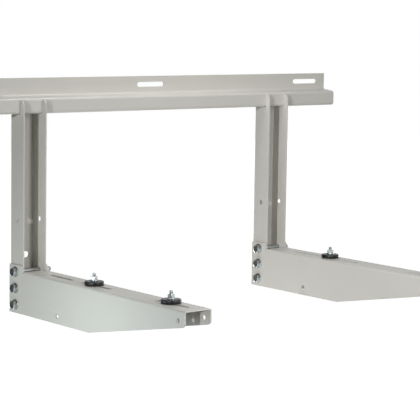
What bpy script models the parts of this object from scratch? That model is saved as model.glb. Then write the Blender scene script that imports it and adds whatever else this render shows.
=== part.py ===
"""Wall bracket for the outdoor unit of an air conditioner.

A folded crossbar is screwed to the wall. Two channel uprights hook under its front flange and
each carries an arm, an upside-down channel held by three through bolts. Rubber pads on the arms,
each with its own stud and nut, take the feet of the unit.

Metres, +Z up. X runs along the crossbar, +Y points into the wall and the wall is the plane Y = 0.
The origin is in the middle of the crossbar's wall face, on solid sheet just below its centre slot.
"""

import math

import bmesh
import bpy
from mathutils import Matrix, Vector

# Sheet metal, the same for every folded piece
sheet = 0.002
bend_inner_radius = 0.001
bend_steps = 5
contact_gap = 0.0003

# Crossbar
crossbar_length = 0.780
crossbar_height = 0.056
crossbar_depth = 0.029
back_flange_height = 0.029
web_drop = 0.003
bar_bend_inner_radius = 0.003
lip_depth = 0.010
origin_below_top = 0.024
bar_slot_length = 0.055
bar_slot_height = 0.008
bar_slot_below_top = 0.014
bar_slot_end_margin = 0.0195

# Uprights
upright_spacing = 0.504
upright_width = 0.043
hook_reach = 0.010
hook_below_web_front = 0.0015
hook_round = 0.0095
upright_above_arm_bottom = 0.003
wall_slot_length = 0.024
wall_slot_height = 0.010
wall_slot_above_arm_top = 0.022
flange_hole_diameter = 0.008
flange_hole_above_arm_top = 0.081

# Arms
arm_top_below_bar_top = 0.306
arm_reach = 0.465
arm_height = 0.068
arm_tip_height = 0.0235
arm_level_length = 0.2265
arm_wall_gap = 0.0015
arm_side_clearance = 0.0005
arm_web_clearance = 0.001
arm_tip_round = 0.010
arm_corner_round = 0.003
ear_height = 0.010
arm_slot_width = 0.007
near_slot_start = 0.084
near_slot_length = 0.066
middle_slot_start = 0.172
middle_slot_length = 0.080
front_slot_from_tip = 0.021
front_slot_length = 0.080
arm_hole_diameter = 0.008
arm_hole_from_wall = 0.1405
arm_hole_above_bottom = 0.013
tip_hole_diameter = 0.007
tip_hole_from_tip = 0.0155
tip_hole_below_top = 0.0153

# Through bolts, three for each arm
bolt_diameter = 0.008
bolt_head_flats = 0.013
bolt_head_height = 0.0053
bolt_nut_height = 0.0065
bolt_washer_diameter = 0.017
bolt_washer_thickness = 0.0016
bolt_tail = 0.0085
bolt_hole_play = 0.001
bolt_from_wall = 0.0205
first_bolt_below_arm_top = 0.0015
last_bolt_above_arm_bottom = 0.0137

# Rubber pads and their studs, two for each arm
pad_diameter = 0.030
pad_height = 0.0065
pad_edge_round = 0.0015
pad_seat_depth = 0.0003
stud_diameter = 0.006
stud_head_flats = 0.010
stud_head_height = 0.004
stud_nut_height = 0.005
stud_tail = 0.0055
seat_washer_diameter = 0.0125
under_washer_diameter = 0.018
stud_washer_thickness = 0.0016
rear_pad_past_slot_start = {"left": 0.0345, "right": 0.010}
front_pad_behind_slot_end = {"left": 0.043, "right": 0.021}

# Facets of round pieces, and the clearance of a bore round its bolt
turned_sides = 18
pad_sides = 24
slot_end_steps = 8
bore_play = 2 * contact_gap
hex_chamfer_circle = 0.95
bolt_end_chamfer = 0.001

# Places worked out from the sizes above
bar_top = origin_below_top
bar_bottom = bar_top - crossbar_height
web_front_top = bar_top - back_flange_height - web_drop
upright_depth = crossbar_depth + hook_reach
arm_top = bar_top - arm_top_below_bar_top
arm_bottom = arm_top - arm_height
arm_half_width = upright_width / 2 + arm_side_clearance + sheet
arm_web_start = upright_depth + arm_web_clearance
bend_outer_radius = bend_inner_radius + sheet
first_bolt = arm_top - first_bolt_below_arm_top
last_bolt = arm_bottom + last_bolt_above_arm_bottom
bolt_levels = (first_bolt, (first_bolt + last_bolt) / 2, last_bolt)
pad_seat_level = pad_height - pad_seat_depth
past_faces = 0.004

powder_coat_hex = 0xC9C9C2
zinc_hex = 0xB4BBB8
rubber_hex = 0x1B1C1B


def clear_scene():
    for thing in list(bpy.data.objects):
        bpy.data.objects.remove(thing, do_unlink=True)


def surface(name, colour, roughness, metallic):
    """A Principled material from an sRGB hex colour."""
    made = bpy.data.materials.new(name)
    made.use_nodes = True
    shader = made.node_tree.nodes["Principled BSDF"]
    channels = [((colour >> shift) & 255) / 255 for shift in (16, 8, 0)]
    linear = [c / 12.92 if c <= 0.04045 else ((c + 0.055) / 1.055) ** 2.4 for c in channels]
    shader.inputs["Base Color"].default_value = (*linear, 1.0)
    shader.inputs["Roughness"].default_value = roughness
    shader.inputs["Metallic"].default_value = metallic
    return made


def add_object(name, mesh, material=None):
    made = bpy.data.objects.new(name, mesh)
    bpy.context.scene.collection.objects.link(made)
    if material is not None and not mesh.materials:
        mesh.materials.append(material)
    return made


def folded_outline(corners, inner_radius=bend_inner_radius):
    """Outline of a bent strip of sheet, from the corners of its middle line.

    Every inner corner becomes an arc, and the line is offset by half the sheet to both sides.
    """
    middle_radius = inner_radius + sheet / 2
    points = [Vector(corner) for corner in corners]
    stations = []
    for index, point in enumerate(points):
        before = (point - points[max(index, 1) - 1]).normalized()
        after = (points[min(index + 1, len(points) - 1)] - point).normalized()
        if index == 0:
            before = after
        if index == len(points) - 1:
            after = before
        turn = math.atan2(before.x * after.y - before.y * after.x, before.dot(after))
        normal = Vector((-before.y, before.x))
        if abs(turn) < 1e-6:
            stations.append((point, normal))
            continue
        side = math.copysign(1.0, turn)
        start = point - before * middle_radius * math.tan(abs(turn) / 2)
        centre = start + normal * side * middle_radius
        for step in range(bend_steps + 1):
            turned = Matrix.Rotation(turn * step / bend_steps, 2) @ normal
            stations.append((centre - turned * side * middle_radius, turned))
    left = [point + normal * sheet / 2 for point, normal in stations]
    right = [point - normal * sheet / 2 for point, normal in stations]
    return left + right[::-1]


def slot_outline(length, height):
    """A slot with round ends, lying along the first coordinate."""
    radius = height / 2
    straight = (length - height) / 2
    outline = []
    for side in (1, -1):
        for step in range(slot_end_steps + 1):
            angle = math.pi * step / slot_end_steps - math.pi / 2
            across = side * (straight + radius * math.cos(angle))
            outline.append(Vector((across, side * radius * math.sin(angle))))
    return outline


def circle_outline(diameter):
    steps = 2 * slot_end_steps
    angles = [2 * math.pi * step / steps for step in range(steps)]
    return [Vector((math.cos(a), math.sin(a))) * diameter / 2 for a in angles]


def rounded_outline(corners):
    """A polygon whose corners (first, second, radius) are rounded where the radius isn't 0."""
    outline = []
    for index, (a, b, radius) in enumerate(corners):
        point = Vector((a, b))
        if radius <= 0:
            outline.append(point)
            continue
        to_before = (Vector(corners[index - 1][:2]) - point).normalized()
        to_after = (Vector(corners[(index + 1) % len(corners)][:2]) - point).normalized()
        half = to_before.angle(to_after) / 2
        centre = point + (to_before + to_after).normalized() * radius / math.sin(half)
        start = point + to_before * radius / math.tan(half) - centre
        end = point + to_after * radius / math.tan(half) - centre
        sweep = math.atan2(start.x * end.y - start.y * end.x, start.dot(end))
        for step in range(bend_steps + 1):
            outline.append(centre + Matrix.Rotation(sweep * step / bend_steps, 2) @ start)
    return outline


def along_x(a, b, distance):
    return (distance, a, b)


def along_y(a, b, distance):
    return (a, distance, b)


def along_z(a, b, distance):
    return (a, b, distance)


def prism(name, outline, place, start, end, shift=(0.0, 0.0)):
    """The outline pushed from start to end; place says which way it runs."""
    count = len(outline)
    points = [
        place(point.x + shift[0], point.y + shift[1], distance)
        for distance in (start, end)
        for point in outline
    ]
    faces = [tuple(range(count)), tuple(range(count, 2 * count))]
    for index in range(count):
        after = (index + 1) % count
        faces.append((index, after, count + after, count + index))
    mesh = bpy.data.meshes.new(name)
    mesh.from_pydata(points, [], faces)
    turn_faces_out(mesh)
    return mesh


def turn_faces_out(mesh):
    editing = bmesh.new()
    editing.from_mesh(mesh)
    bmesh.ops.recalc_face_normals(editing, faces=editing.faces)
    editing.to_mesh(mesh)
    editing.free()


def combine(target, mesh, operation):
    """Adds a Boolean modifier whose other body is a hidden guide."""
    guide = add_object(f"{target.name}_guide_{len(target.modifiers)}", mesh)
    guide.hide_render = True
    guide.display_type = "WIRE"
    modifier = target.modifiers.new(operation.lower(), "BOOLEAN")
    modifier.operation = operation
    modifier.solver = "EXACT"
    modifier.object = guide


def shade_round(mesh):
    mesh.shade_smooth()
    mesh.set_sharp_from_angle(angle=math.radians(35))


def rings_to_mesh(name, rings, closed_loop):
    """Skins rings of equal length; the loop closes on itself, or both ends are capped."""
    count = len(rings[0])
    points = [point for ring in rings for point in ring]
    faces = []
    pairs = len(rings) if closed_loop else len(rings) - 1
    for row in range(pairs):
        lower = row * count
        upper = (row + 1) % len(rings) * count
        for index in range(count):
            after = (index + 1) % count
            faces.append((lower + index, lower + after, upper + after, upper + index))
    if not closed_loop:
        faces.append(tuple(range(count)))
        faces.append(tuple(range((len(rings) - 1) * count, len(rings) * count)))
    mesh = bpy.data.meshes.new(name)
    mesh.from_pydata(points, [], faces)
    turn_faces_out(mesh)
    shade_round(mesh)
    return mesh


def circle_ring(radius, height, sides=turned_sides):
    angles = [2 * math.pi * index / sides for index in range(sides)]
    return [(radius * math.cos(a), radius * math.sin(a), height) for a in angles]


def hex_ring(flats, height, chamfer):
    """A hexagon's ring; chamfer is +1 or -1 where a 30 degree cone trims its corners, or 0."""
    ring = []
    for index in range(turned_sides):
        angle = 2 * math.pi * index / turned_sides
        from_flat = angle % (math.pi / 3) - math.pi / 6
        radius = flats / 2 / math.cos(from_flat)
        trimmed = (radius - hex_chamfer_circle * flats / 2) * math.tan(math.radians(30))
        level = height - chamfer * trimmed
        ring.append((radius * math.cos(angle), radius * math.sin(angle), level))
    return ring


def hex_nut_mesh(name, flats, height, bore):
    """A nut standing on Z = 0, chamfered at both ends."""
    chamfered = hex_chamfer_circle * flats / 2
    rings = [
        circle_ring(bore / 2, 0),
        circle_ring(chamfered, 0),
        hex_ring(flats, 0, -1),
        hex_ring(flats, height, 1),
        circle_ring(chamfered, height),
        circle_ring(bore / 2, height),
    ]
    return rings_to_mesh(name, rings, True)


def hex_bolt_mesh(name, diameter, flats, head_height, length):
    """A bolt along +Z: the head ends at Z = 0, under which the shank starts."""
    rings = [
        circle_ring(hex_chamfer_circle * flats / 2, -head_height),
        hex_ring(flats, -head_height, -1),
        hex_ring(flats, 0, 0),
        circle_ring(diameter / 2, 0),
        circle_ring(diameter / 2, length - bolt_end_chamfer),
        circle_ring(diameter / 2 - bolt_end_chamfer, length),
    ]
    return rings_to_mesh(name, rings, False)


def washer_mesh(name, diameter, bore, thickness):
    rings = [
        circle_ring(bore / 2, 0),
        circle_ring(diameter / 2, 0),
        circle_ring(diameter / 2, thickness),
        circle_ring(bore / 2, thickness),
    ]
    return rings_to_mesh(name, rings, True)


def pad_mesh(name):
    """A round rubber pad with rounded outer edges, a shallow seat pressed by its washer and a bore."""
    corner = pad_diameter / 2 - pad_edge_round
    bore = (stud_diameter + bore_play) / 2
    seat = seat_washer_diameter / 2 + contact_gap
    rings = [circle_ring(bore, 0, pad_sides)]
    for centre_height, first_angle in ((pad_edge_round, -90), (pad_height - pad_edge_round, 0)):
        for step in range(4):
            angle = math.radians(first_angle + 30 * step)
            radius = corner + pad_edge_round * math.cos(angle)
            height = centre_height + pad_edge_round * math.sin(angle)
            rings.append(circle_ring(radius, height, pad_sides))
    rings.append(circle_ring(seat, pad_height, pad_sides))
    rings.append(circle_ring(seat, pad_seat_level, pad_sides))
    rings.append(circle_ring(bore, pad_seat_level, pad_sides))
    return rings_to_mesh(name, rings, True)


def build_crossbar(material):
    """A Z fold: back flange up, web sloping down to the front, front flange and a return lip."""
    half = sheet / 2
    front = -crossbar_depth + half
    web_wall_level = bar_top - back_flange_height
    corners = (
        (-half, bar_top),
        (-half, web_wall_level),
        (front, web_wall_level - web_drop),
        (front, bar_bottom + half),
        (lip_depth - crossbar_depth, bar_bottom + half),
    )
    end = crossbar_length / 2
    section = folded_outline(corners, bar_bend_inner_radius)
    body = prism("crossbar", section, along_x, -end, end)
    crossbar = add_object("crossbar", body, material)
    slot = slot_outline(bar_slot_length, bar_slot_height)
    slot_level = bar_top - bar_slot_below_top
    outer_slot = end - bar_slot_end_margin - bar_slot_length / 2
    for centre in (-outer_slot, 0.0, outer_slot):
        cutter = prism("slot", slot, along_y, -sheet - past_faces, past_faces, (centre, slot_level))
        combine(crossbar, cutter, "DIFFERENCE")


def build_upright(side, centre, material):
    """A channel open to the front, whose flanges are slotted to hook over the crossbar."""
    half = sheet / 2
    across = upright_width / 2 - half
    corners = ((-across, -upright_depth), (-across, -half), (across, -half), (across, -upright_depth))
    bottom = arm_bottom + upright_above_arm_bottom
    hook_top = web_front_top - hook_below_web_front
    channel = prism("channel", folded_outline(corners), along_z, bottom, hook_top, (centre, 0.0))
    upright = add_object(f"{side}_upright", channel, material)

    left = centre - upright_width
    right = centre + upright_width
    rear_top = bar_top - back_flange_height - sheet - contact_gap
    front_slot_back = -crossbar_depth + sheet + contact_gap
    front_slot_front = -crossbar_depth - contact_gap
    slot_floor = bar_bottom - contact_gap
    lip_end = -crossbar_depth + lip_depth + contact_gap
    lip_ceiling = bar_bottom + sheet + contact_gap
    slope = web_drop / (crossbar_depth - sheet)
    rear_top_at_slot = rear_top + slope * front_slot_back
    above = hook_top + past_faces
    bar_space = (
        (past_faces, rear_top, 0),
        (past_faces, above, 0),
        (front_slot_front, above, 0),
        (front_slot_front, slot_floor, 0),
        (lip_end, slot_floor, 0),
        (lip_end, lip_ceiling, 0),
        (front_slot_back, lip_ceiling, bar_bend_inner_radius),
        (front_slot_back, rear_top_at_slot, bar_bend_inner_radius),
        (0.0, rear_top, 0),
    )
    cutter = prism("bar_space", rounded_outline(bar_space), along_x, left, right)
    combine(upright, cutter, "DIFFERENCE")

    outside = [Vector((-upright_depth - past_faces, level)) for level in (above, hook_top - hook_round)]
    for step in range(bend_steps + 1):
        angle = math.pi / 2 * step / bend_steps
        depth = -upright_depth + hook_round * (1 - math.cos(angle))
        outside.append(Vector((depth, hook_top - hook_round * (1 - math.sin(angle)))))
    outside.append(Vector((-upright_depth + hook_round, above)))
    combine(upright, prism("hook_round", outside, along_x, left, right), "DIFFERENCE")

    wall_slot = slot_outline(wall_slot_length, wall_slot_height)
    level = arm_top + wall_slot_above_arm_top
    cutter = prism("wall_slot", wall_slot, along_y, -sheet - past_faces, past_faces, (centre, level))
    combine(upright, cutter, "DIFFERENCE")

    holes = [(bolt_diameter + bolt_hole_play, level) for level in bolt_levels]
    holes.append((flange_hole_diameter, arm_top + flange_hole_above_arm_top))
    for diameter, level in holes:
        place = (-bolt_from_wall, level)
        cutter = prism("hole", circle_outline(diameter), along_x, left, right, place)
        combine(upright, cutter, "DIFFERENCE")


def build_arm(side, centre, material):
    """An upside-down channel round the upright, with ears at the wall and a tapered underside."""
    half = sheet / 2
    across = arm_half_width - half
    wall_end = -arm_wall_gap
    tip = -arm_reach
    below = arm_bottom - past_faces
    corners = ((-across, below), (-across, arm_top - half), (across, arm_top - half), (across, below))
    channel = prism("channel", folded_outline(corners), along_y, -arm_web_start, tip, (centre, 0.0))
    arm = add_object(f"{side}_arm", channel, material)

    ear_front = -upright_depth
    plate_top = arm_top - bend_outer_radius - contact_gap
    joined = -arm_web_start - bend_outer_radius
    plate = rounded_outline(
        (
            (wall_end, below, 0),
            (wall_end, arm_top + ear_height, arm_corner_round),
            (ear_front, arm_top + ear_height, arm_corner_round),
            (ear_front, plate_top, 0),
            (joined, plate_top, 0),
            (joined, below, 0),
        )
    )
    for outer in (-1, 1):
        outside = centre + outer * arm_half_width
        inside = outside - outer * sheet
        combine(arm, prism("plate", plate, along_x, outside, inside), "UNION")

    left = centre - 2 * arm_half_width
    right = centre + 2 * arm_half_width
    outline = (
        (past_faces, arm_top + ear_height + past_faces, 0),
        (wall_end + past_faces, arm_bottom, 0),
        (-arm_level_length, arm_bottom, 0),
        (tip, arm_top - arm_tip_height, arm_tip_round),
        (tip - past_faces, arm_top + ear_height + past_faces, 0),
    )
    side_view = prism("side_view", rounded_outline(outline), along_x, left, right)
    combine(arm, side_view, "INTERSECT")

    front_slot_end = arm_reach - front_slot_from_tip
    spans = (
        (near_slot_start, near_slot_length),
        (middle_slot_start, middle_slot_length),
        (front_slot_end - front_slot_length, front_slot_length),
    )
    for start, length in spans:
        lying = [Vector((point.y, point.x)) for point in slot_outline(length, arm_slot_width)]
        low = arm_top - sheet - past_faces
        place = (centre, -start - length / 2)
        combine(arm, prism("slot", lying, along_z, low, arm_top + past_faces, place), "DIFFERENCE")

    holes = [(bolt_diameter + bolt_hole_play, -bolt_from_wall, level) for level in bolt_levels]
    near_level = arm_bottom + arm_hole_above_bottom
    holes.append((arm_hole_diameter, -arm_hole_from_wall, near_level))
    holes.append((tip_hole_diameter, tip + tip_hole_from_tip, arm_top - tip_hole_below_top))
    for diameter, depth, level in holes:
        cutter = prism("hole", circle_outline(diameter), along_x, left, right, (depth, level))
        combine(arm, cutter, "DIFFERENCE")


def build_arm_bolts(side, centre, shared, material):
    """Three bolts through arm and upright, heads to the left, each with two washers and a nut."""
    towards_right = Matrix.Rotation(math.radians(90), 4, "Y")
    faces = (-arm_half_width, arm_half_width)
    head_seat = faces[0] - contact_gap - bolt_washer_thickness - contact_gap
    stations = (
        ("head_washer", shared["bolt_washer"], faces[0] - contact_gap - bolt_washer_thickness),
        ("bolt", shared["bolt"], head_seat),
        ("nut_washer", shared["bolt_washer"], faces[1] + contact_gap),
        ("nut", shared["bolt_nut"], faces[1] + 2 * contact_gap + bolt_washer_thickness),
    )
    for number, level in enumerate(bolt_levels, start=1):
        for kind, mesh, across in stations:
            piece = add_object(f"{side}_{kind}_{number}", mesh, material)
            place = Vector((centre + across, -bolt_from_wall, level))
            piece.matrix_world = Matrix.Translation(place) @ towards_right


def build_pads(side, centre, shared, materials):
    """Two pads on the arm, clamped by a stud from below with a washer under the web."""
    front_slot_end = arm_reach - front_slot_from_tip
    places = {
        "rear": middle_slot_start + rear_pad_past_slot_start[side],
        "front": front_slot_end - front_pad_behind_slot_end[side],
    }
    web_under = arm_top - sheet
    washer_level = arm_top + pad_seat_level + 2 * contact_gap
    stack = (
        ("pad_under_washer", "under_washer", web_under - contact_gap - stud_washer_thickness, "zinc"),
        ("pad_stud", "stud", web_under - 2 * contact_gap - stud_washer_thickness, "zinc"),
        ("rubber_pad", "pad", arm_top + contact_gap, "rubber"),
        ("pad_washer", "seat_washer", washer_level, "zinc"),
        ("pad_nut", "stud_nut", washer_level + stud_washer_thickness + contact_gap, "zinc"),
    )
    for name, from_wall in places.items():
        for kind, mesh, level, finish in stack:
            piece = add_object(f"{side}_{name}_{kind}", shared[mesh], materials[finish])
            piece.location = (centre, -from_wall, level)


def fastener_meshes():
    """One mesh for each kind of bolt, nut, washer and pad, shared by its copies."""
    washer_and_gaps = bolt_washer_thickness + 2 * contact_gap
    bolt_length = 2 * washer_and_gaps + 2 * arm_half_width + bolt_nut_height + bolt_tail
    under_web = stud_washer_thickness + 2 * contact_gap + sheet
    over_web = pad_seat_level + stud_washer_thickness + 3 * contact_gap + stud_nut_height
    stud_length = under_web + over_web + stud_tail
    bolt_bore = bolt_diameter + bore_play
    stud_bore = stud_diameter + bore_play
    thick = stud_washer_thickness
    return {
        "bolt": hex_bolt_mesh("bolt", bolt_diameter, bolt_head_flats, bolt_head_height, bolt_length),
        "bolt_nut": hex_nut_mesh("bolt_nut", bolt_head_flats, bolt_nut_height, bolt_bore),
        "bolt_washer": washer_mesh(
            "bolt_washer", bolt_washer_diameter, bolt_bore, bolt_washer_thickness
        ),
        "stud": hex_bolt_mesh("stud", stud_diameter, stud_head_flats, stud_head_height, stud_length),
        "stud_nut": hex_nut_mesh("stud_nut", stud_head_flats, stud_nut_height, stud_bore),
        "seat_washer": washer_mesh("seat_washer", seat_washer_diameter, stud_bore, thick),
        "under_washer": washer_mesh("under_washer", under_washer_diameter, stud_bore, thick),
        "pad": pad_mesh("pad"),
    }


clear_scene()
finishes = {
    "coat": surface("light grey powder coat", powder_coat_hex, 0.45, 0.0),
    "zinc": surface("zinc plated steel", zinc_hex, 0.3, 1.0),
    "rubber": surface("black rubber", rubber_hex, 0.4, 0.0),
}
fasteners = fastener_meshes()
build_crossbar(finishes["coat"])
for side_name, direction in (("left", -1), ("right", 1)):
    middle = direction * upright_spacing / 2
    build_upright(side_name, middle, finishes["coat"])
    build_arm(side_name, middle, finishes["coat"])
    build_arm_bolts(side_name, middle, fasteners, finishes["zinc"])
    build_pads(side_name, middle, fasteners, finishes)
bpy.context.view_layer.update()
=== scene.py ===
"""Wall bracket for the outdoor unit of an air conditioner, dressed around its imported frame.

Metres, +Z up. X runs along the crossbar, +Y points into the wall and the wall is the plane Y = 0.
"""

import math

import bmesh
import bpy
import numpy as np
from mathutils import Matrix, Vector


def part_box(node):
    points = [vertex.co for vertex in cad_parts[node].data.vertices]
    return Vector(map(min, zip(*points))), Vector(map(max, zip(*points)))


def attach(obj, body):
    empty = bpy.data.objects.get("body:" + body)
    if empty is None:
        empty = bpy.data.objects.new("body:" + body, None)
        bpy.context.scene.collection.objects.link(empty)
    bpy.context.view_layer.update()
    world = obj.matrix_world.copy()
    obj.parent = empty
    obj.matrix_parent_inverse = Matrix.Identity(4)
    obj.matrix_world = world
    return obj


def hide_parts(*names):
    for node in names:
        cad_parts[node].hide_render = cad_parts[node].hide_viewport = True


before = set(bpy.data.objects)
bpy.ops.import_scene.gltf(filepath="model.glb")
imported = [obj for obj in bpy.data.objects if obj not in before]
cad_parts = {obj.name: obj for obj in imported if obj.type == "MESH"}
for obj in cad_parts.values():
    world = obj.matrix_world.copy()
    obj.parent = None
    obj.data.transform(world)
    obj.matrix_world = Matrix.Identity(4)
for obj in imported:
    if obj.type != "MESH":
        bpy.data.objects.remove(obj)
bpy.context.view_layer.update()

SIDES = ("left", "right")

# The folded sheet: a crossbar, two channel uprights and two arms, each bent from one 2 mm steel
# blank that was punched flat. They are powder coated after folding, so the coat wraps every punched
# edge in a soft round bead, and the oven leaves a fine orange peel on the flats.

COAT_COLOURS = (0xBFBCB3, 0xC5C2B9)
COAT_ROUGHNESS = (0.50, 0.40)
COAT_IOR = 1.5
FILM_PATCH = 0.060
ORANGE_PEEL_WAVE = 0.0035
ORANGE_PEEL_DEPTH = 0.00004
MERGE_DISTANCE = 1e-6
FLAT_ANGLE = math.radians(1)
BEND_ANGLE = math.radians(40)
COATED_EDGE = 0.0004
COATED_EDGE_STEPS = 3
LARGE_FACES_ONLY = 100


def linear(colour):
    """sRGB hex to linear RGBA: c / 12.92 in the toe, ((c + 0.055) / 1.055) ** 2.4 above it."""
    channels = np.array([(colour >> shift) & 255 for shift in (16, 8, 0)]) / 255
    curve = np.where(channels <= 0.04045, channels / 12.92, ((channels + 0.055) / 1.055) ** 2.4)
    return (*curve.tolist(), 1.0)


def add_node(tree, kind, links=None, settings=None, **values):
    """Adds a node: values are its own properties, settings fill its sockets and links feed them."""
    made = tree.nodes.new(kind)
    for name, value in values.items():
        setattr(made, name, value)
    for socket, value in (settings or {}).items():
        made.inputs[socket].default_value = value
    for socket, source in (links or {}).items():
        tree.links.new(source, made.inputs[socket])
    return made


def new_material(name, **shader_settings):
    """A material with one Principled shader, and that shader's settings by socket name."""
    made = bpy.data.materials.new(name)
    made.use_nodes = True
    shader = made.node_tree.nodes["Principled BSDF"]
    for socket, value in shader_settings.items():
        shader.inputs[socket.replace("_", " ")].default_value = value
    return made, made.node_tree, shader


def add_noise(tree, wave, detail):
    """Noise from 0 to 1 over the object, whose waves are about wave metres long."""
    place = add_node(tree, "ShaderNodeTexCoord").outputs["Object"]
    return add_node(
        tree, "ShaderNodeTexNoise", {"Vector": place}, {"Scale": 1 / wave, "Detail": detail}
    ).outputs["Fac"]


def vary_finish(tree, shader, noise, colours, roughness):
    """Takes colour and roughness from their first value to their second as the noise rises."""
    tint = add_node(
        tree,
        "ShaderNodeMix",
        {"Factor": noise},
        {"A": linear(colours[0]), "B": linear(colours[1])},
        data_type="RGBA",
    )
    rough = add_node(
        tree,
        "ShaderNodeMapRange",
        {"Value": noise},
        {"To Min": roughness[0], "To Max": roughness[1]},
    )
    tree.links.new(tint.outputs["Result"], shader.inputs["Base Color"])
    tree.links.new(rough.outputs["Result"], shader.inputs["Roughness"])


def add_bump(tree, shader, noise, strength, depth):
    """Raises the surface by the noise, up to depth metres."""
    bump = add_node(
        tree, "ShaderNodeBump", {"Height": noise}, {"Strength": strength, "Distance": depth}
    )
    tree.links.new(bump.outputs["Normal"], shader.inputs["Normal"])


def powder_coat():
    """Light grey polyester powder coat: satin, a little darker and duller where the film is thin."""
    made, tree, shader = new_material("satin_grey_powder_coat", Metallic=0.0, IOR=COAT_IOR)
    film = add_noise(tree, FILM_PATCH, detail=2.0)
    vary_finish(tree, shader, film, COAT_COLOURS, COAT_ROUGHNESS)
    add_bump(tree, shader, add_noise(tree, ORANGE_PEEL_WAVE, detail=1.0), 1.0, ORANGE_PEEL_DEPTH)
    return made


def add_object(name, data):
    """A new object at the origin, linked into the scene."""
    made = bpy.data.objects.new(name, data)
    bpy.context.scene.collection.objects.link(made)
    return made


def dress(piece, node_name):
    """Lets a piece stand for its node: hangs it on the root body and hides the node."""
    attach(piece, "root")
    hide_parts(node_name)


def coated_sheet(node_name, name, material):
    """A copy of a folded node, its loose triangles merged and its flats made whole.

    The punched edges, which turn by 90 degrees, are rounded by the coat. The bends are shaded
    smooth, with normals that follow the large faces, so that the flats stay flat.
    """
    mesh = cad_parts[node_name].data.copy()
    editing = bmesh.new()
    editing.from_mesh(mesh)
    bmesh.ops.remove_doubles(editing, verts=editing.verts, dist=MERGE_DISTANCE)
    bmesh.ops.dissolve_limit(
        editing, angle_limit=FLAT_ANGLE, verts=editing.verts, edges=editing.edges
    )
    editing.to_mesh(mesh)
    editing.free()
    mesh.name = name
    mesh.materials.clear()
    mesh.materials.append(material)
    mesh.shade_smooth()
    piece = add_object(name, mesh)
    edge = piece.modifiers.new("coated_edge", "BEVEL")
    edge.width = COATED_EDGE
    edge.segments = COATED_EDGE_STEPS
    edge.limit_method = "ANGLE"
    edge.angle_limit = BEND_ANGLE
    edge.harden_normals = True
    flats = piece.modifiers.new("flat_faces", "WEIGHTED_NORMAL")
    flats.mode = "FACE_AREA"
    flats.weight = LARGE_FACES_ONLY
    flats.keep_sharp = True
    dress(piece, node_name)


coat = powder_coat()
coated_sheet("crossbar", "crossbar_sheet", coat)
for side in SIDES:
    coated_sheet(f"{side}_upright", f"{side}_upright_sheet", coat)
    coated_sheet(f"{side}_arm", f"{side}_arm_sheet", coat)

# The through bolts: three M8 hexagon bolts for each arm, forged and thread rolled, with a pressed
# washer under the head and under the nut. All are bright zinc plated, so they are shinier than the
# coat and a little cloudy.

ZINC_COLOURS = (0xA9AEAC, 0xBFC4C4)
ZINC_ROUGHNESS = (0.38, 0.22)
ZINC_CLOUD = 0.004
AROUND = 72
SHARP_ANGLE = math.radians(28)
CORNER_STEPS = 4
HEX_SHARPNESS = 50
CHAMFER_SHARE = 0.95
CHAMFER_SLOPE = math.tan(math.radians(30))
HEAD_HOLLOW = ((0.6, 0.00008), (0.9, 0.00002))
NECK_ROUND = 0.0004
EDGE_ROUND = 0.0003
COUNTERSINK = 0.0005
THREAD_ROWS = 8
THREAD_DEPTH_SHARE = 0.6134
THREAD_FLAT_SHARE = 0.15
BOLT_DIAMETER = 0.008
BOLT_PITCH = 0.00125
BOLT_FLATS = 0.013
BOLT_HEAD_HEIGHT = 0.0053
BOLT_THREAD_LENGTH = 0.022
BOLT_END_CHAMFER = 0.001
WASHER_PLAY = 0.0004

angles = np.arange(AROUND) * 2 * math.pi / AROUND


def zinc_plating():
    """Bright zinc on steel: a metal whose cloudy crystals change its gloss every few millimetres."""
    made, tree, shader = new_material("bright_zinc_plating", Metallic=1.0)
    cloud = add_noise(tree, ZINC_CLOUD, detail=3.0)
    vary_finish(tree, shader, cloud, ZINC_COLOURS, ZINC_ROUGHNESS)
    return made


def spun(name, profile, axis, centre, material, closed):
    """A surface round an axis, from rings of radii and heights.

    profile is a list of (radius, height) pairs, each a number or an array over the directions
    round the axis. A point is centre + axis * height + (cos, sin) * radius. Rings are listed so
    that the outside runs up the axis; a closed profile meets itself, an open one is capped.
    """
    ones = np.ones(AROUND)
    radii = np.array([radius * ones for radius, _ in profile])
    heights = np.array([height * ones for _, height in profile])
    flat = (radii * np.cos(angles), radii * np.sin(angles))
    if axis == "X":
        points = np.stack((heights, *flat), axis=-1)
    else:
        points = np.stack((*flat, heights), axis=-1)
    points = points + np.array(centre)
    rows = len(profile)
    ring = np.arange(rows if closed else rows - 1)[:, None] * AROUND
    above = (ring + AROUND) % (rows * AROUND)
    here = np.arange(AROUND)[None, :]
    after = (here + 1) % AROUND
    quads = np.stack((ring + here, ring + after, above + after, above + here), axis=-1)
    faces = quads.reshape(-1, 4).tolist()
    if not closed:
        faces.append(list(range(AROUND))[::-1])
        faces.append(list(range((rows - 1) * AROUND, rows * AROUND)))
    mesh = bpy.data.meshes.new(name)
    mesh.from_pydata(points.reshape(-1, 3).tolist(), [], faces)
    mesh.materials.append(material)
    mesh.shade_smooth()
    mesh.set_sharp_from_angle(angle=SHARP_ANGLE)
    return add_object(name, mesh)


def hexagon(flats):
    """Distance to a hexagon with softly rounded corners, in each direction round the axis.

    It is half the width over flats, over the p-norm of the cosines to the three flat directions.
    """
    toward_flats = np.abs(np.cos(angles[None, :] - np.radians([[30], [90], [150]])))
    return flats / 2 / (toward_flats**HEX_SHARPNESS).sum(axis=0) ** (1 / HEX_SHARPNESS)


def chamfered(flats):
    """A hexagon's outline, how far a 30 degree cone trims it, and the circle that stays flat."""
    corner = hexagon(flats)
    flat_circle = CHAMFER_SHARE * flats / 2
    trimmed = np.maximum(corner - flat_circle, 0) * CHAMFER_SLOPE
    return np.maximum(corner, flat_circle), trimmed, flat_circle


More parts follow.
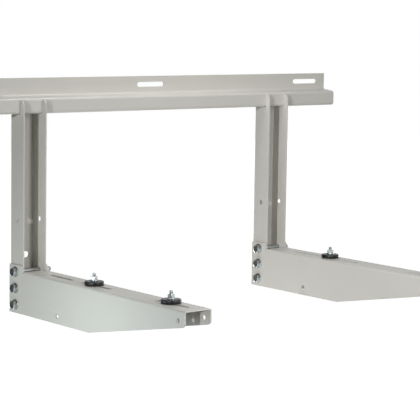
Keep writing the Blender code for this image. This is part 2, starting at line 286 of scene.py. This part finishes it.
def thread(diameter, pitch, start, end):
    """Rings of a rolled thread from start to end.

    The radius is the core's plus a ridge, a triangle wave of (height / pitch - angle / a turn)
    with its tips cut off. The ridge fades in over one pitch and a cone trims it at the end.
    """
    depth = THREAD_DEPTH_SHARE * pitch
    heights = np.linspace(start, end, int((end - start) / pitch * THREAD_ROWS) + 1)
    turns = heights[:, None] / pitch - angles[None, :] / (2 * math.pi)
    wave = 1 - np.abs(2 * (turns % 1.0) - 1)
    ridge = np.clip((wave - THREAD_FLAT_SHARE) / (1 - 2 * THREAD_FLAT_SHARE), 0, 1)
    fade = np.clip((heights[:, None] - start) / pitch, 0, 1)
    radii = diameter / 2 - depth * fade * (1 - ridge)
    cone = diameter / 2 - BOLT_END_CHAMFER + (end - heights[:, None])
    return list(zip(np.minimum(radii, cone), heights))


def hex_bolt(name, diameter, pitch, flats, head_height, thread_length, length, axis, centre):
    """A hexagon bolt whose slightly hollow head starts at height 0, trimmed by a 30 degree cone."""
    corner = hexagon(flats)
    outside, trimmed, flat_circle = chamfered(flats)
    profile = [
        *((flat_circle * share, depth) for share, depth in HEAD_HOLLOW),
        (flat_circle, 0.0),
        (outside, trimmed),
        (corner, head_height - EDGE_ROUND),
        (corner - EDGE_ROUND / 2, head_height),
        (diameter / 2 + NECK_ROUND, head_height),
        (diameter / 2, head_height + NECK_ROUND),
        *thread(diameter, pitch, length - thread_length, length),
    ]
    return spun(name, profile, axis, centre, zinc, False)


def hex_nut(name, diameter, flats, height, axis, centre):
    """A hexagon nut from height 0, trimmed by cones at both ends and countersunk at the bore."""
    outside, trimmed, flat_circle = chamfered(flats)
    bore = diameter / 2
    profile = [
        (bore + COUNTERSINK, 0.0),
        (flat_circle, 0.0),
        (outside, trimmed),
        (outside, height - trimmed),
        (flat_circle, height),
        (bore + COUNTERSINK, height),
        (bore, height - COUNTERSINK),
        (bore, COUNTERSINK),
    ]
    return spun(name, profile, axis, centre, zinc, True)


def rounded_ring(inner, outer, low, high, edge):
    """A closed rectangular section whose four corners are quarter circles, the outer two first."""
    quarter = np.radians(np.linspace(0, 90, CORNER_STEPS))
    profile = []
    corners = ((outer - edge, low + edge, -90), (outer - edge, high - edge, 0),
               (inner + edge, high - edge, 90), (inner + edge, low + edge, 180))
    for radius, height, first in corners:
        turn = quarter + math.radians(first)
        profile += zip(radius + edge * np.cos(turn), height + edge * np.sin(turn))
    return profile


def along(node_name, axis):
    """How a round node stands along X or Z: the centre of its low end, its length, its radius."""
    low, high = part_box(node_name)
    index = "XYZ".index(axis)
    start = (low + high) / 2
    start[index] = low[index]
    return start, high[index] - low[index], (high.y - low.y) / 2


def fit_washer(node_name, bore, axis):
    """A zinc washer in a node's place, with softly rounded edges."""
    start, thickness, outer = along(node_name, axis)
    section = rounded_ring(bore / 2, outer, 0.0, thickness, EDGE_ROUND)
    dress(spun(f"{node_name}_zinc", section, axis, start, zinc, True), node_name)


def fit_nut(node_name, diameter, flats, axis):
    """A zinc nut in a node's place."""
    start, height, _ = along(node_name, axis)
    dress(hex_nut(f"{node_name}_zinc", diameter, flats, height, axis, start), node_name)


def through_bolt(side, number):
    """One of an arm's three bolts, with its nut and two washers."""
    node = f"{side}_bolt_{number}"
    start, length, _ = along(node, "X")
    bolt = hex_bolt(
        f"{node}_zinc", BOLT_DIAMETER, BOLT_PITCH, BOLT_FLATS, BOLT_HEAD_HEIGHT,
        BOLT_THREAD_LENGTH, length, "X", start,
    )
    dress(bolt, node)
    fit_nut(f"{side}_nut_{number}", BOLT_DIAMETER, BOLT_FLATS, "X")
    for kind in ("head_washer", "nut_washer"):
        fit_washer(f"{side}_{kind}_{number}", BOLT_DIAMETER + WASHER_PLAY, "X")


zinc = zinc_plating()
for side in SIDES:
    for number in (1, 2, 3):
        through_bolt(side, number)

# The feet of the unit stand on round pads of black rubber, moulded with rounded edges and a
# shallow seat for the washer. An M6 stud comes up from below the arm through each pad.

RUBBER_COLOUR = 0x141515
RUBBER_ROUGHNESS = 0.36
RUBBER_SHINE = 0.3
RUBBER_IOR = 1.52
RUBBER_GRAIN = 0.0012
RUBBER_GRAIN_STRENGTH = 0.6
RUBBER_GRAIN_DEPTH = 0.00002
PAD_EDGE = 0.0015
PAD_BORE = 0.0066
PAD_SEAT_RADIUS = 0.00655
PAD_SEAT_DEPTH = 0.0003
STUD_DIAMETER = 0.006
STUD_PITCH = 0.001
STUD_FLATS = 0.010
STUD_HEAD_HEIGHT = 0.004
STUD_PLAIN_LENGTH = 0.001


def black_rubber():
    """Moulded black rubber: glossy from a polished mould, with a faint grain."""
    made, tree, shader = new_material(
        "moulded_black_rubber",
        Base_Color=linear(RUBBER_COLOUR),
        Roughness=RUBBER_ROUGHNESS,
        Specular_IOR_Level=RUBBER_SHINE,
        IOR=RUBBER_IOR,
    )
    grain = add_noise(tree, RUBBER_GRAIN, detail=2.0)
    add_bump(tree, shader, grain, RUBBER_GRAIN_STRENGTH, RUBBER_GRAIN_DEPTH)
    return made


def rubber_pad(node):
    """A round pad with rounded outer edges and a bevelled seat round its bore."""
    start, height, outer = along(node, "Z")
    outer_edges = rounded_ring(PAD_BORE / 2, outer, 0.0, height, PAD_EDGE)[: 2 * CORNER_STEPS]
    section = outer_edges + [
        (PAD_SEAT_RADIUS, height),
        (PAD_SEAT_RADIUS - PAD_SEAT_DEPTH, height - PAD_SEAT_DEPTH),
        (PAD_BORE / 2, height - PAD_SEAT_DEPTH),
        (PAD_BORE / 2, 0.0),
    ]
    dress(spun(f"{node}_moulded", section, "Z", start, rubber, True), node)


def pad_stud(side, place):
    """The stud of one pad, threaded almost to its head, with its nut and two washers."""
    node = f"{side}_{place}_pad_stud"
    start, length, _ = along(node, "Z")
    stud = hex_bolt(
        f"{node}_zinc", STUD_DIAMETER, STUD_PITCH, STUD_FLATS, STUD_HEAD_HEIGHT,
        length - STUD_HEAD_HEIGHT - STUD_PLAIN_LENGTH, length, "Z", start,
    )
    dress(stud, node)
    fit_nut(f"{side}_{place}_pad_nut", STUD_DIAMETER, STUD_FLATS, "Z")
    for kind in ("pad_washer", "pad_under_washer"):
        fit_washer(f"{side}_{place}_{kind}", STUD_DIAMETER + WASHER_PLAY, "Z")


rubber = black_rubber()
for side in SIDES:
    for place in ("rear", "front"):
        rubber_pad(f"{side}_{place}_rubber_pad")
        pad_stud(side, place)

# The camera stands at the photograph's place, to the left of the bracket and a little above it.

CAMERA_PLACE = Vector((-1.7442, -2.3803, 0.1435))
CAMERA_TURN = math.radians(38.255)
CAMERA_TILT = math.radians(6.671)
CAMERA_ROLL = math.radians(0.880)
CAMERA_REACH = 100.0
FRAME_PIXELS = 420
FOCAL_PIXELS = 1751.5
SENSOR = 36.0

camera = add_object("camera", bpy.data.cameras.new("camera"))
camera.data.sensor_fit = "HORIZONTAL"
camera.data.sensor_width = SENSOR
camera.data.lens = FOCAL_PIXELS / FRAME_PIXELS * SENSOR
camera.data.clip_end = CAMERA_REACH
camera.matrix_world = (
    Matrix.Translation(CAMERA_PLACE)
    @ Matrix.Rotation(-CAMERA_TURN, 4, "Z")
    @ Matrix.Rotation(math.pi / 2 - CAMERA_TILT, 4, "X")
    @ Matrix.Rotation(CAMERA_ROLL, 4, "Z")
)
bpy.context.scene.camera = camera

# The studio: a white room with a pale floor. The key light is hard and comes in low from the left,
# and softer lamps on the other sides fill what it leaves dark. Small ones close by light the left
# arm and the underside. A black card on the left is what the flats of the zinc heads mirror.

WHITE = (1.0, 1.0, 1.0, 1.0)
ROOM_LIGHT = 0.03
FLOOR_LEVEL = -2.6
FLOOR_REACH = 25.0
FLOOR_PAINT = (0.9, 0.9, 0.9, 1.0)
FLOOR_ROUGHNESS = 0.9
FLOOR_GLOW = 0.94
CARD_PAINT = (0.01, 0.01, 0.01, 1.0)
CARD_RADIUS = 3.0
CARD_BOTTOM = -1.2
CARD_TOP = 4.0
CARD_SPAN = math.radians(145)
CARD_STEPS = 30
COOL = (0.95, 0.965, 1.0)
COLD = (0.81, 0.94, 1.0)
KEY_DIRECTION = Vector((0.880, 0.475, -0.15))
KEY_STRENGTH = 1.58
KEY_WIDTH = math.radians(2)
FULL_BEAM = math.radians(180)
NEAR_BEAM = math.radians(160)
MIDDLE = Vector((-0.1, -0.2, -0.2))
LEFT_ARM = Vector((-0.276, -0.2, -0.316))
LEFT_ARM_FRONT = Vector((-0.276, -0.27, -0.31))
RIGHT_ARM = Vector((0.23, -0.2, -0.2))
CROSSBAR = Vector((0.0, -0.05, 0.0))


def by_background(tree, otherwise, shown):
    """The value shown to a ray that looks for the background, and otherwise to any other ray.

    Such a ray is the camera's, or one mirrored or let through, so metal shows that background too.
    """
    path = add_node(tree, "ShaderNodeLightPath").outputs
    looks = path["Is Camera Ray"]
    for kind in ("Is Glossy Ray", "Is Transmission Ray"):
        either = add_node(tree, "ShaderNodeMath", {0: looks, 1: path[kind]}, operation="MAXIMUM")
        looks = either.outputs[0]
    level = add_node(
        tree, "ShaderNodeMapRange", {"Value": looks}, {"To Min": otherwise, "To Max": shown}
    )
    return level.outputs["Result"]


def white_room():
    """White where it is seen or mirrored, and a weak even light elsewhere."""
    world = bpy.data.worlds.new("white_room")
    world.use_nodes = True
    tree = world.node_tree
    background = tree.nodes["Background"]
    background.inputs["Color"].default_value = WHITE
    tree.links.new(by_background(tree, ROOM_LIGHT, 1.0), background.inputs["Strength"])
    return world


def lamp(name, place, target, size, watts, colour, beam=FULL_BEAM):
    """A round lamp at place that faces target, with a grid that narrows its beam."""
    light = bpy.data.lights.new(name, "AREA")
    light.shape = "DISK"
    light.size = size
    light.energy = watts
    light.color = colour
    light.spread = beam
    made = add_object(name, light)
    made.location = place
    made.rotation_euler = (target - Vector(place)).to_track_quat("-Z", "Y").to_euler()
    made.visible_camera = False


def key_light():
    """A narrow sun, so that flanges and hooks throw crisp shadows."""
    light = bpy.data.lights.new("low_key", "SUN")
    light.energy = KEY_STRENGTH
    light.angle = KEY_WIDTH
    light.color = COOL
    add_object("low_key", light).rotation_euler = KEY_DIRECTION.to_track_quat("-Z", "Y").to_euler()


def stage_surface(name, points, rows, columns, material):
    """A grid of points, row by row, that stands in the studio and isn't part of the bracket."""
    first = (np.arange(rows - 1)[:, None] * columns + np.arange(columns - 1)[None, :]).ravel()
    quads = np.stack((first, first + 1, first + columns + 1, first + columns), axis=-1)
    mesh = bpy.data.meshes.new(name)
    mesh.from_pydata(points.tolist(), [], quads.tolist())
    mesh.materials.append(material)
    made = add_object(name, mesh)
    return made


def pale_floor():
    """A flat floor of matt white paint, which glows where it is seen and keeps a faint shadow."""
    paint, tree, shader = new_material(
        "matt_white_floor",
        Base_Color=FLOOR_PAINT,
        Roughness=FLOOR_ROUGHNESS,
        Emission_Color=WHITE,
    )
    tree.links.new(by_background(tree, 0.0, FLOOR_GLOW), shader.inputs["Emission Strength"])
    side = np.array([-FLOOR_REACH, FLOOR_REACH])
    x, y = np.meshgrid(side, side)
    points = np.stack((x, y, np.full((2, 2), FLOOR_LEVEL)), axis=-1).reshape(-1, 3)
    stage_surface("floor", points, 2, 2, paint)


def black_card():
    """A card bent round the left side, on an arc round the bracket, that only gloss picks up."""
    turn = math.pi + np.linspace(-CARD_SPAN / 2, CARD_SPAN / 2, CARD_STEPS)
    arc = np.stack((np.cos(turn), np.sin(turn), np.zeros(CARD_STEPS)), axis=-1) * CARD_RADIUS
    points = np.concatenate((arc + (0, 0, CARD_BOTTOM), arc + (0, 0, CARD_TOP)))
    paint, _, _ = new_material("matt_black_card", Base_Color=CARD_PAINT, Roughness=1.0)
    card = stage_surface("black_card", points, 2, CARD_STEPS, paint)
    card.visible_camera = False
    card.visible_diffuse = False
    card.visible_shadow = False


bpy.context.scene.world = white_room()
key_light()
lamp("front", (0.0, -1.7, 0.55), MIDDLE, size=0.3, watts=4.5, colour=COOL)
lamp("middle_front", (-0.1, -0.9, -0.1), RIGHT_ARM, size=0.3, watts=2.5, colour=COOL)
lamp("above", (0.0, -0.1, 0.5), MIDDLE, size=0.3, watts=2.5, colour=COOL)
lamp("left", (-0.55, -0.12, -0.38), LEFT_ARM, size=0.3, watts=0.31, colour=COLD)
lamp(
    "left_near", (-0.50, -0.275, -0.36), LEFT_ARM_FRONT, size=0.2, watts=0.27, colour=COLD,
    beam=NEAR_BEAM,
)
lamp("under", (0.0, -0.05, -0.5), CROSSBAR, size=0.4, watts=0.58, colour=COOL)
lamp("right", (2.0, 0.3, -0.2), MIDDLE, size=1.0, watts=17.0, colour=COOL)
lamp("back", (0.7, 2.0, -1.0), MIDDLE, size=0.6, watts=25.0, colour=COOL)
pale_floor()
black_card()

bpy.context.scene.view_settings.view_transform = "Standard"
